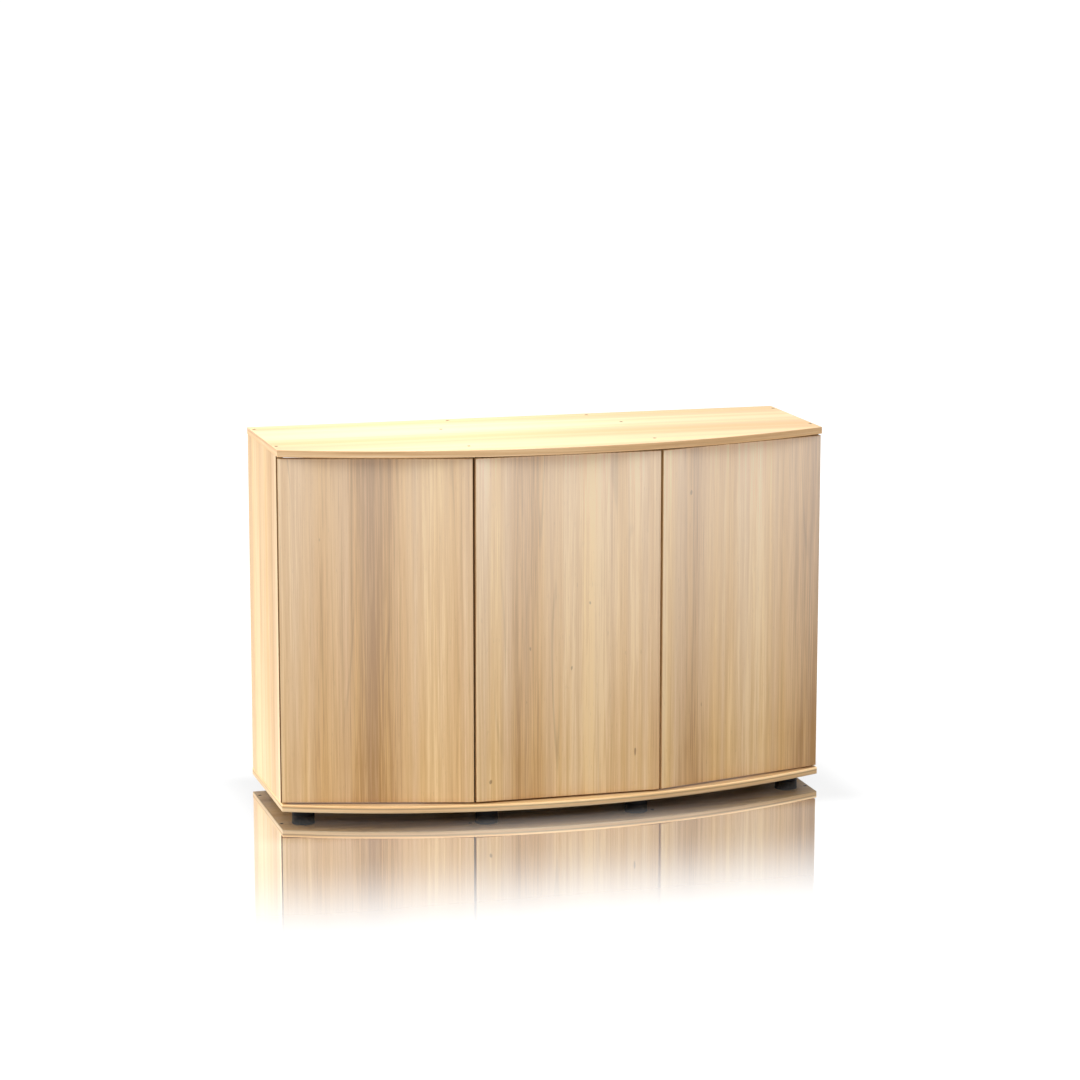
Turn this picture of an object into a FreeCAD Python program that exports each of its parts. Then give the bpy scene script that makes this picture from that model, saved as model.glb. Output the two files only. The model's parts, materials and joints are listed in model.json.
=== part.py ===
import FreeCAD, Part
import os
import re
import Sketcher

# Bow-fronted aquarium stand: two shaped boards on four uprights, with three flat push-to-open doors.
# Millimetres. Z is up from the floor, the front faces -Y, and the origin is the middle of the
# whole outline at floor level.

V = FreeCAD.Vector
ACROSS, UP = V(0, 1, 0), V(0, 0, 1)

SIZES = {
    # outline
    "width": 1210, "depth": 460, "height": 800, "bow": 126,
    # boards, uprights and their edging
    "board": 15, "board_edging": 2, "rounding": 1.2,
    "panel": 15, "panel_depth": 314, "panel_edging": 1, "side_inset": 1, "side_setback": 20,
    "partition_x": 204.75, "partition_lead": 85,
    "back_width": 400, "back_inset": 14.5,
    "shelf_play": 0.5, "shelf_rear_gap": 5, "shelf_front_gap": 24, "shelf_top": 415,
    "shelf_pin_radius": 2.5, "shelf_pin_depth": 9, "shelf_pin_reach": 8,
    "shelf_pin_side_y": 44, "shelf_pin_partition_y": 54, "shelf_pin_rear_y": 30,
    # fasteners
    "spare": 1, "screw_first": 32, "screw_pitch": 245, "back_screw_x": 160, "back_dowel_x": 96,
    "screw_head_radius": 4.25, "screw_head": 3, "screw_radius": 2.5, "screw_length": 50,
    "screw_socket": 2.3, "screw_socket_deep": 2,
    "dowel_radius": 4, "dowel_length": 30, "dowel_in_board": 10,
    "dowel_first": 74, "dowel_pitch": 160,
    # feet
    "foot_radius": 25, "foot": 20, "foot_taper": 0.8, "foot_flange": 3, "foot_recess_radius": 9,
    "foot_floor": 12, "foot_screw_radius": 2, "foot_screw_head_radius": 4.5,
    "foot_screw_head": 3, "foot_screw_reach": 12,
    "foot_outer_x": 549.5, "foot_inner_x": 168, "foot_rear_inset": 44,
    "foot_outer_front": 48, "foot_inner_front": 51,
    "pilot_radius": 1, "pilot_deep": 8, "pilot_out": 32, "pilot_lead": 49,
    # doors
    "door_gap": 4, "door": 15, "door_angle": 15.2, "door_edging": 1, "door_rounding": 0.8,
    "outer_door_width": 408.8, "outer_door_x": 604, "outer_door_setback": 4.5,
    "middle_door_width": 408, "middle_door_lead": 104,
    # concealed hinges: each pivot of the arm from the upright's corner, of the cup from the door's
    "hinge_up": 270,
    "angled_arm_x": 20, "angled_arm_y": -13, "angled_cup_x": 11, "angled_cup_y": 14,
    "straight_arm_x": 25, "straight_arm_y": -11, "straight_cup_x": 13, "straight_cup_y": 9,
    "cup_radius": 17.5, "cup_deep": 12, "cup_wall": 1, "cup_floor": 0.8, "cup_along": 21.5,
    "cup_lobe": 20, "cup_lobe_tall": 29, "cup_lobe_thick": 1, "cup_screw_up": 24,
    "cup_screw_radius": 1.75, "cup_screw_head_radius": 3.4, "cup_screw_head": 1.4,
    "cup_screw_deep": 10, "cup_notch": 7, "cup_notch_deep": 7, "cup_notch_proud": 3,
    "pivot_radius": 1.2, "pivot_play": 0.05, "link_half": 6, "link_thick": 1.6, "link_eye": 2.4,
    "arm_half": 7.6, "arm_sheet": 1.2, "arm_head": 2.7, "arm_neck": 1.8, "arm_rise": 14,
    "arm_rear": 72, "arm_front": 22, "arm_shoulder": 8, "arm_slope": 14,
    "channel_lead": 40, "channel_out": 9, "channel_shoulder": 6, "channel_step": 0.4,
    "arm_screw_y": 50, "arm_screw_radius": 1.8, "arm_screw_head_radius": 3.2, "arm_screw_head": 1.6,
    "arm_pin_proud": 0.4,
    "plate": 2, "plate_y": 37, "plate_half": 10, "plate_long": 36, "plate_lead": 12, "plate_wing": 23,
    "plate_screw_up": 16, "plate_screw_radius": 2.5, "plate_screw_head_radius": 4,
    "plate_screw_head": 1.6, "plate_screw_deep": 11,
    # push latches
    "latch_up": 325, "latch_wide": 16, "latch_long": 56, "latch_tall": 26, "latch_setback": 3,
    "latch_bore": 4, "plunger_radius": 3.92, "plunger_long": 40, "plunger_gap": 0.4,
    "plunger_nose": 1.5, "latch_cavity": 50, "latch_screw_up": 9, "latch_screw_radius": 1.75,
    "latch_screw_head_radius": 3.2, "latch_screw_head": 2, "latch_screw_deep": 10,
}

doc = FreeCAD.newDocument("aquarium_stand")
sheet = doc.addObject("Spreadsheet::Sheet", "dims")
for row, (alias, value) in enumerate(SIZES.items(), start=1):
    sheet.set(f"A{row}", alias)
    sheet.set(f"B{row}", str(value))
    sheet.setAlias(f"B{row}", alias)
doc.recompute()

nodes = []


# ---------------------------------------------------------------- helpers

def size(text):
    """The number that a formula of the sheet's aliases gives."""
    return float(sheet.evalExpression(str(text)))


def formula(text):
    """The same formula as an expression for another object: each alias names its sheet."""
    return re.sub(r"\b([a-z]\w*)\b(?!\()", lambda word: "dims." + word.group(1), str(text))


def bind(thing, **cells):
    for prop, text in cells.items():
        thing.setExpression(prop, formula(text))


def place(thing, x="0", y="0", z="0", turn=None):
    """Puts a piece at a place given by formulas, turned first if turn is given."""
    if turn is not None:
        thing.Placement = FreeCAD.Placement(V(0, 0, 0), turn)
    for axis, text in (("x", x), ("y", y), ("z", z)):
        thing.setExpression("Placement.Base." + axis, formula(text))
    return thing


def node(thing, label):
    """Marks a finished sub-part: its label names its file."""
    thing.Label = label
    nodes.append(thing)
    return thing


def box(name, x, y, z, at=("0", "0", "0")):
    """A block of the given lengths with its low corner at the given place."""
    thing = doc.addObject("Part::Box", name)
    bind(thing, Length=x, Width=y, Height=z)
    return place(thing, *at)


def rod(name, radius, length, at=("0", "0", "0"), along="z"):
    """A round bar from the given place along +x, +y, +z or -z."""
    turns = {"x": (ACROSS, 90), "y": (V(1, 0, 0), -90), "z": (UP, 0), "-z": (V(1, 0, 0), 180)}
    thing = doc.addObject("Part::Cylinder", name)
    bind(thing, Radius=radius, Height=length)
    return place(thing, *at, turn=FreeCAD.Rotation(*turns[along]))


def join(name, pieces):
    thing = doc.addObject("Part::MultiFuse", name)
    thing.Shapes = pieces
    return thing


def cut(name, base, tool):
    thing = doc.addObject("Part::Cut", name)
    thing.Base = base
    thing.Tool = tool
    return thing


def group(name, pieces):
    """Several separate solids kept as one object."""
    thing = doc.addObject("Part::Compound", name)
    thing.Links = pieces
    return thing


def repeat(name, master, places, turn=None):
    """One master piece at each place (x, y, z in formulas), as one group."""
    copies = []
    for count, at in enumerate(places, start=1):
        copy = doc.addObject("App::Link", f"{name}_{count}")
        copy.LinkedObject = master
        place(copy, *at, turn=turn)
        copies.append(copy)
    return group(name, copies)


def body(name):
    return doc.addObject("PartDesign::Body", name)


def sketch(owner, name, plane="XY_Plane", offset="0"):
    """A sketch on one of the body's own origin planes, moved along that plane's normal."""
    thing = owner.newObject("Sketcher::SketchObject", name)
    support = [item for item in owner.Origin.OriginFeatures if item.Role == plane]
    thing.AttachmentSupport = [(support[0], "")]
    thing.MapMode = "FlatFace"
    thing.setExpression("AttachmentOffset.Base.z", formula(offset))
    return thing


def limit(drawing, kind, *where, text):
    """One constraint whose value follows a formula."""
    index = drawing.addConstraint(Sketcher.Constraint(kind, *where, size(text)))
    drawing.setExpression(f"Constraints[{index}]", formula(text))


def loop(drawing, corners, arcs=None):
    """A closed outline through corners; arcs gives an edge's (middle x, middle y, radius).

    An arc with no radius is a half circle, its centre level with its first corner."""
    arcs = arcs or {}
    points = [V(size(x), size(y), 0) for x, y in corners]
    first = drawing.GeometryCount
    ends = []
    for index, start in enumerate(points):
        finish = points[(index + 1) % len(points)]
        if index in arcs:
            # a sketch keeps every arc anticlockwise
            middle = V(size(arcs[index][0]), size(arcs[index][1]), 0)
            forward = (middle - start).cross(finish - middle).z > 0
            limits = (start, finish) if forward else (finish, start)
            drawing.addGeometry(Part.Arc(limits[0], middle, limits[1]), False)
            ends.append((1, 2) if forward else (2, 1))
        else:
            drawing.addGeometry(Part.LineSegment(start, finish), False)
            ends.append((1, 2))
    for index in range(len(points)):
        after = (index + 1) % len(points)
        drawing.addConstraint(
            Sketcher.Constraint("Coincident", first + index, ends[index][1], first + after, ends[after][0])
        )
    for index, (x, y) in enumerate(corners):
        limit(drawing, "DistanceX", -1, 1, first + index, ends[index][0], text=x)
        limit(drawing, "DistanceY", -1, 1, first + index, ends[index][0], text=y)
    for index, (_, _, radius) in arcs.items():
        if radius is None:
            limit(drawing, "DistanceY", -1, 1, first + index, 3, text=corners[index][1])
        else:
            limit(drawing, "Radius", first + index, text=radius)


def circle(drawing, x, y, radius):
    index = drawing.GeometryCount
    drawing.addGeometry(Part.Circle(V(size(x), size(y), 0), UP, size(radius)), False)
    limit(drawing, "DistanceX", -1, 1, index, 3, text=x)
    limit(drawing, "DistanceY", -1, 1, index, 3, text=y)
    limit(drawing, "Radius", index, text=radius)


def pad(owner, drawing, name, length, reverse=False):
    thing = owner.newObject("PartDesign::Pad", name)
    thing.Profile = drawing
    bind(thing, Length=length)
    thing.Reversed = reverse
    doc.recompute()
    return thing


def pocket(owner, drawing, name, length, reverse=False):
    """A pocket, with proof that it took material away."""
    before = owner.Shape.Volume
    thing = owner.newObject("PartDesign::Pocket", name)
    thing.Profile = drawing
    bind(thing, Length=length)
    thing.Reversed = reverse
    doc.recompute()
    if owner.Shape.Volume >= before - 1e-6:
        raise RuntimeError(name + " cuts nothing")
    return thing


def spin(owner, drawing, name):
    """A full turn of a half section about the body's own upright axis."""
    thing = owner.newObject("PartDesign::Revolution", name)
    thing.Profile = drawing
    thing.ReferenceAxis = (drawing, ["V_Axis"])
    thing.Angle = 360
    doc.recompute()
    return thing


def soften(owner, feature, name, radius, wanted):
    """Rounds the edges of the last feature that wanted() picks."""
    picked = [
        f"Edge{index}" for index, edge in enumerate(feature.Shape.Edges, start=1) if wanted(edge)
    ]
    thing = owner.newObject("PartDesign::Fillet", name)
    thing.Base = (feature, picked)
    bind(thing, Radius=radius)
    doc.recompute()
    return thing


# ---------------------------------------------------------------- shared places

CORNER_Y = "(bow-depth/2)"
BOW_RADIUS = "(bow/2+width*width/(8*bow))"
BOW_CENTRE_Y = f"({BOW_RADIUS}-depth/2)"
FLOOR_TOP = "(foot+board)"
CEILING = "(height-board)"
INSIDE_TALL = "(height-foot-2*board)"
MIDDLE_UP = "(foot+board+(height-foot-2*board)/2)"
SIDE_OUTER_X = "(width/2-side_inset)"
SIDE_X = "(width/2-side_inset-panel/2)"
SIDE_INNER_X = "(width/2-side_inset-panel)"
SIDE_FRONT_Y = f"({CORNER_Y}+side_setback)"
PARTITION_FRONT_Y = f"({CORNER_Y}-partition_lead)"
BACK_Y = "(depth/2-back_inset-panel/2)"
SIDES = (("left", "-"), ("right", ""))

# each upright: name, centre x, front y
UPRIGHTS = [(f"side_panel_{side}", sign + SIDE_X, SIDE_FRONT_Y) for side, sign in SIDES]
UPRIGHTS += [(f"partition_{side}", sign + "partition_x", PARTITION_FRONT_Y) for side, sign in SIDES]

# each door: name, hinge edge x, front y there, its turn, the upright it hangs on (inner face x, front y),
# that upright's turn, its width, and the hinge's two pivots (arm: x, y; cup: along, deep)
FLIP = FreeCAD.Rotation(ACROSS, 180)
STRAIGHT = FreeCAD.Rotation(UP, 0)
OUTER_FRONT_Y = f"({CORNER_Y}+outer_door_setback)"
MIDDLE_FRONT_Y = f"({CORNER_Y}-middle_door_lead)"
ANGLED_HINGE = ("angled_arm_x", "angled_arm_y", "angled_cup_x", "angled_cup_y")
STRAIGHT_HINGE = ("straight_arm_x", "straight_arm_y", "straight_cup_x", "straight_cup_y")
DOORS = [
    ("left", "-outer_door_x", OUTER_FRONT_Y, FreeCAD.Rotation(UP, -size("door_angle")),
     "-" + SIDE_INNER_X, SIDE_FRONT_Y, STRAIGHT, "outer_door_width", ANGLED_HINGE),
    ("middle", "-middle_door_width/2", MIDDLE_FRONT_Y, STRAIGHT,
     "-(partition_x-panel/2)", PARTITION_FRONT_Y, STRAIGHT, "middle_door_width", STRAIGHT_HINGE),
    ("right", "outer_door_x", OUTER_FRONT_Y, FreeCAD.Rotation(UP, size("door_angle")) * FLIP,
     SIDE_INNER_X, SIDE_FRONT_Y, FLIP, "outer_door_width", ANGLED_HINGE),
]
HINGE_HEIGHTS = (("upper", "hinge_up"), ("lower", "-hinge_up"))

# each latch: name, x of the upright's face that it stands on, side it stands to, door back's y there
OUTER_BACK_AT_LATCH = (
    f"({OUTER_FRONT_Y}+door/cos(door_angle)"
    "-(outer_door_x-partition_x-panel/2-latch_wide/2-plunger_radius)*tan(door_angle))"
)
LATCHES = [
    ("left", "-(partition_x+panel/2)", "-", OUTER_BACK_AT_LATCH),
    ("middle", "(partition_x-panel/2)", "-", f"({MIDDLE_FRONT_Y}+door)"),
    ("right", "(partition_x+panel/2)", "+", OUTER_BACK_AT_LATCH),
]


# ---------------------------------------------------------------- fasteners

def corner_screw(name, with_socket):
    """A long panel screw, head up at z 0, in line with its shank below."""
    head = rod(name + "_head", "screw_head_radius", "screw_head", along="-z")
    shank = rod(name + "_shank", "screw_radius", "screw_length", along="-z")
    whole = join(name + "_form", [head, shank])
    if not with_socket:
        return whole
    socket = doc.addObject("Part::Prism", name + "_socket")
    socket.Polygon = 6
    bind(socket, Circumradius="screw_socket", Height="screw_socket_deep")
    place(socket, z="-screw_socket_deep")
    return cut(name, whole, socket)


SCREW_XY = [(x, f"{front}+screw_first+{step}*screw_pitch") for _, x, front in UPRIGHTS for step in (0, 1)]
SCREW_XY += [(sign + "back_screw_x", BACK_Y) for _, sign in SIDES]
DOWEL_XY = [(x, f"{front}+dowel_first+{step}*dowel_pitch") for _, x, front in UPRIGHTS for step in (0, 1)]
DOWEL_XY += [(sign + "back_dowel_x", BACK_Y) for _, sign in SIDES]

screw = corner_screw("screw", True)
screw_room = corner_screw("screw_room", False)
upside_down = FreeCAD.Rotation(V(1, 0, 0), 180)
top_places = [(x, y, "height") for x, y in SCREW_XY]
bottom_places = [(x, y, "foot") for x, y in SCREW_XY]
node(repeat("top_screws", screw, top_places), "top_screws")
node(repeat("bottom_screws", screw, bottom_places, upside_down), "bottom_screws")
screw_rooms = group("screw_rooms", [
    repeat("top_screw_rooms", screw_room, top_places),
    repeat("bottom_screw_rooms", screw_room, bottom_places, upside_down),
])

dowel = rod("dowel", "dowel_radius", "dowel_length")
top_dowels = node(
    repeat("top_dowels", dowel, [(x, y, f"{CEILING}+dowel_in_board-dowel_length") for x, y in DOWEL_XY]),
    "top_dowels",
)
bottom_dowels = node(
    repeat("bottom_dowels", dowel, [(x, y, f"{FLOOR_TOP}-dowel_in_board") for x, y in DOWEL_XY]),
    "bottom_dowels",
)

FOOT_XY = [
    ("foot_front_left", "-foot_outer_x", f"{CORNER_Y}+foot_outer_front"),
    ("foot_front_mid_left", "-foot_inner_x", f"{CORNER_Y}-foot_inner_front"),
    ("foot_front_mid_right", "foot_inner_x", f"{CORNER_Y}-foot_inner_front"),
    ("foot_front_right", "foot_outer_x", f"{CORNER_Y}+foot_outer_front"),
    ("foot_rear_left", "-foot_outer_x", "depth/2-foot_rear_inset"),
    ("foot_rear_mid_left", "-foot_inner_x", "depth/2-foot_rear_inset"),
    ("foot_rear_mid_right", "foot_inner_x", "depth/2-foot_rear_inset"),
    ("foot_rear_right", "foot_outer_x", "depth/2-foot_rear_inset"),
]


def foot(label, x, y):
    """A round plastic foot: flange, slightly tapered skirt, and a recess for its one screw."""
    owner = body(label)
    half = sketch(owner, label + "_section", "XZ_Plane")
    loop(half, [
        ("foot_screw_radius", "foot_floor"), ("foot_recess_radius", "foot_floor"),
        ("foot_recess_radius", "0"), ("foot_radius-foot_taper*2", "0"),
        ("foot_radius-foot_taper", "foot_taper"), ("foot_radius-foot_taper", "foot-foot_flange"),
        ("foot_radius", "foot-foot_flange+foot_taper"), ("foot_radius", "foot"),
        ("foot_screw_radius", "foot"),
    ])
    spin(owner, half, label + "_turned")
    node(place(owner, x, y), label)


for label, x, y in FOOT_XY:
    foot(label, x, y)

foot_screw = join("foot_screw", [
    rod("foot_screw_head", "foot_screw_head_radius", "foot_screw_head",
        ("0", "0", "foot_floor-foot_screw_head")),
    rod("foot_screw_shank", "foot_screw_radius", "foot-foot_floor+foot_screw_reach",
        ("0", "0", "foot_floor")),
])
foot_screws = node(repeat("foot_screws", foot_screw, [(x, y, "0") for _, x, y in FOOT_XY]), "foot_screws")


# ---------------------------------------------------------------- top and bottom boards

INNER_X = "(width/2-board_edging)"
INNER_RADIUS = f"({BOW_RADIUS}-board_edging)"
INNER_Y = f"({BOW_CENTRE_Y}-sqrt({INNER_RADIUS}*{INNER_RADIUS}-{INNER_X}*{INNER_X}))"
OUTER_BOW = ("0", "-depth/2", BOW_RADIUS)
INNER_BOW = ("0", "board_edging-depth/2", INNER_RADIUS)


def board(label, up):
    """The bare board: straight back and sides, and a front that is one arc."""
    owner = body(label + "_blank")
    plan = sketch(owner, label + "_plan")
    corners = [
        ("-" + INNER_X, "depth/2"), ("-" + INNER_X, INNER_Y), (INNER_X, INNER_Y), (INNER_X, "depth/2"),
    ]
    loop(plan, corners, {1: INNER_BOW})
    pad(owner, plan, label + "_pad", "board")
    return place(owner, z=up)


def board_edging(label, up):
    """The edging round the board's sides and bowed front, rounded on its outer edges."""
    owner = body(label)
    plan = sketch(owner, label + "_plan")
    corners = [
        ("-width/2", "depth/2"), ("-width/2", CORNER_Y), ("width/2", CORNER_Y), ("width/2", "depth/2"),
        (INNER_X, "depth/2"), (INNER_X, INNER_Y), ("-" + INNER_X, INNER_Y), ("-" + INNER_X, "depth/2"),
    ]
    loop(plan, corners, {1: OUTER_BOW, 5: INNER_BOW})
    strip = pad(owner, plan, label + "_pad", "board")
    half_width, radius = size("width/2"), size(BOW_RADIUS)

    def is_outer(edge):
        if edge.BoundBox.ZLength > 1e-6:
            front_corner = edge.BoundBox.XMax * edge.BoundBox.XMin > (half_width - 1) ** 2
            return front_corner and edge.BoundBox.YMax < 0
        if hasattr(edge.Curve, "Radius"):
            return abs(edge.Curve.Radius - radius) < 1e-3
        return all(abs(abs(vertex.X) - half_width) < 1e-3 for vertex in edge.Vertexes)

    soften(owner, strip, label + "_rounded", "rounding", is_outer)
    node(place(owner, z=up), label)


# the boards are drilled alike, so the top one has a pilot hole above each foot and by each partition
pilot = rod("pilot", "pilot_radius", "pilot_deep", along="-z")
PILOT_XY = [(x, y) for _, x, y in FOOT_XY]
PILOT_XY += [(sign + "(partition_x+pilot_out)", f"{CORNER_Y}-pilot_lead") for _, sign in SIDES]
pilots = repeat("pilots", pilot, [(x, y, "height") for x, y in PILOT_XY])
node(cut("top_board", board("top_board", CEILING), group("top_cuts", [screw_rooms, top_dowels, pilots])),
     "top_board")
node(cut("bottom_board", board("bottom_board", "foot"),
         group("bottom_cuts", [screw_rooms, bottom_dowels, foot_screws])), "bottom_board")
board_edging("top_board_edging", CEILING)
board_edging("bottom_board_edging", "foot")


# ---------------------------------------------------------------- hinges (drawn about the door's mid height)

def hinge_plate(door, level, up):
    """The plate on the upright, with wings above and below for its two screws."""
    name = f"hinge_plate_{door}_{level}"
    spine = box(name + "_spine", "plate", "plate_long", "2*plate_half",
                ("0", "plate_y-plate_lead", f"{up}-plate_half"))
    wings = box(name + "_wings", "plate", "plate_half", "2*plate_wing",
                ("0", "plate_y-plate_half/2", f"{up}-plate_wing"))
    return join(name, [spine, wings])


def plate_screws(door, level, up):
    """Two flat-headed screws through the plate's wings into the upright."""
    screws = []
    for side in ("+", "-"):
        name = f"plate_screw_{door}_{level}_{'upper' if side == '+' else 'lower'}"
        at = f"{up}{side}plate_screw_up"
        shank = rod(name + "_shank", "plate_screw_radius", "plate_screw_deep+plate",
                    ("-plate_screw_deep", "plate_y", at), "x")
        head = rod(name + "_head", "plate_screw_head_radius", "plate_screw_head",
                   ("plate", "plate_y", at), "x")
        screws.append(join(name, [shank, head]))
    return screws


def prism(name, corners, half, up, plane="XY_Plane", arcs=None):
    """A plan outline carried up and down by half its height about a level."""
    owner = body(name)
    plan = sketch(owner, name + "_plan", plane, f"{up}-{half}")
    loop(plan, corners, arcs)
    pad(owner, plan, name + "_pad", f"2*{half}")
    return owner


def hinge_arm(door, level, up, pivot):
    """A pressed channel from the plate to a narrow two-cheeked head that holds the arm's pivot."""
    name = f"hinge_arm_{door}_{level}"
    x, y = pivot[0], pivot[1]
    far = f"{x}+channel_out"
    whole = prism(name + "_whole", [
        ("plate", "arm_rear"), ("plate", "arm_front"),
        (f"{x}-arm_neck", "arm_shoulder"), (f"{x}-arm_head", y),
        (f"{x}+arm_head", y), (f"{x}+arm_head", "arm_shoulder"),
        ("arm_rise", "arm_front+arm_slope"), ("arm_rise", "arm_rear"),
    ], "arm_half", up, arcs={3: (x, f"{y}-arm_head", None)})
    channel = prism(name + "_channel", [
        ("-spare", "arm_rear+spare"), ("-spare", "-channel_lead"),
        (far, "-channel_lead"), (far, "channel_shoulder"),
        (f"{x}+arm_head-arm_sheet", "arm_shoulder+channel_step"),
        ("arm_rise-arm_sheet", "arm_front+arm_slope+channel_step"), ("arm_rise-arm_sheet", "arm_rear+spare"),
    ], "(arm_half-arm_sheet)", up)
    pin = rod(name + "_pin_room", "pivot_radius", "4*arm_half", (x, y, f"{up}-2*arm_half"))
    hole = rod(name + "_screw_room", "arm_screw_radius", "arm_rise+spare", ("0", "arm_screw_y", up), "x")
    return cut(name, whole, group(name + "_rooms", [channel, pin, hole]))


def arm_screw(door, level, up):
    """The screw that clamps an arm to its plate."""
    name = f"arm_screw_{door}_{level}"
    shank = rod(name + "_shank", "arm_screw_radius", "arm_rise-plate", ("plate", "arm_screw_y", up), "x")
    head = rod(name + "_head", "arm_screw_head_radius", "arm_screw_head",
               ("arm_rise", "arm_screw_y", up), "x")
    return join(name, [shank, head])


def arm_pin(door, level, up, pivot):
    """The pivot across the arm's head, a little proud of both cheeks."""
    return rod(f"arm_pin_{door}_{level}", "pivot_radius", "2*(arm_half+arm_pin_proud)",
               (pivot[0], pivot[1], f"{up}-arm_half-arm_pin_proud"))


def hinge_cup(door, level, up, pivot):
    """A pressed cup let into the door's back, with a screw lobe above and below its mouth."""
    name = f"hinge_cup_{door}_{level}"
    barrel = rod(name + "_barrel", "cup_radius", "cup_deep", ("cup_along", "door-cup_deep", up), "y")
    lobes = box(name + "_lobes", "cup_lobe", "cup_lobe_thick", "2*cup_lobe_tall",
                ("cup_along-cup_lobe/2", "door", f"{up}-cup_lobe_tall"))
    mouth = rod(name + "_mouth", "cup_radius-cup_wall", "cup_deep+cup_lobe_thick",
                ("cup_along", "door-cup_deep+cup_floor", up), "y")
    notch = box(name + "_notch", "cup_radius", "cup_notch_deep+cup_lobe_thick+spare", "2*cup_notch",
                ("cup_along-cup_radius-cup_notch_proud", "door-cup_notch_deep", f"{up}-cup_notch"))
    rooms = [mouth, notch, cup_pin(door + "_room", level, up, pivot)]
    for side in ("+", "-"):
        tag = "upper" if side == "+" else "lower"
        rooms.append(rod(f"{name}_hole_{tag}", "cup_screw_radius", "cup_lobe_thick+2*spare",
                         ("cup_along", "door-spare", f"{up}{side}cup_screw_up"), "y"))
    return cut(name, join(name + "_whole", [barrel, lobes]), group(name + "_rooms", rooms))


def cup_pin(door, level, up, pivot):
    """The pivot across the cup: the rims of its ends stop halfway through the cup's wall."""
    reach = f"sqrt((cup_radius-cup_wall/2)^2-(cup_along-{pivot[2]}+pivot_radius)^2)"
    return rod(f"cup_pin_{door}_{level}", "pivot_radius", f"2*{reach}", (pivot[2], pivot[3], f"{up}-{reach}"))


def cup_screws(door, level, up):
    """The two screws through a cup's lobes into the door's back."""
    screws = []
    for side in ("+", "-"):
        name = f"cup_screw_{door}_{level}_{'upper' if side == '+' else 'lower'}"
        at = f"{up}{side}cup_screw_up"
        shank = rod(name + "_shank", "cup_screw_radius", "cup_screw_deep+cup_lobe_thick",
                    ("cup_along", "door-cup_screw_deep", at), "y")
        head = rod(name + "_head", "cup_screw_head_radius", "cup_screw_head",
                   ("cup_along", "door+cup_lobe_thick", at), "y")
        screws.append(join(name, [shank, head]))
    return screws


def hinge_link(door, level, up, start, finish):
    """A short bar with a round eye at each end: from the arm's pivot to the cup's."""
    name = f"hinge_link_{door}_{level}"
    run = finish - start
    reach = run.Length
    bar = box(name + "_bar", f"{reach}", "2*link_thick", "2*link_half", ("0", "-link_thick", "-link_half"))
    eyes, holes = [], []
    for tag, along in (("arm", "0"), ("cup", f"{reach}")):
        eyes.append(rod(f"{name}_{tag}_eye", "link_eye", "2*link_half", (along, "0", "-link_half")))
        holes.append(rod(f"{name}_{tag}_hole", "pivot_radius+pivot_play", "2*(link_half+spare)",
                         (along, "0", "-link_half-spare")))
    link = cut(name, join(name + "_whole", [bar] + eyes), group(name + "_holes", holes))
    turn = FreeCAD.Rotation(V(1, 0, 0), run)
    return place(link, f"{start.x}", f"{start.y}", up, turn=turn)


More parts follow.
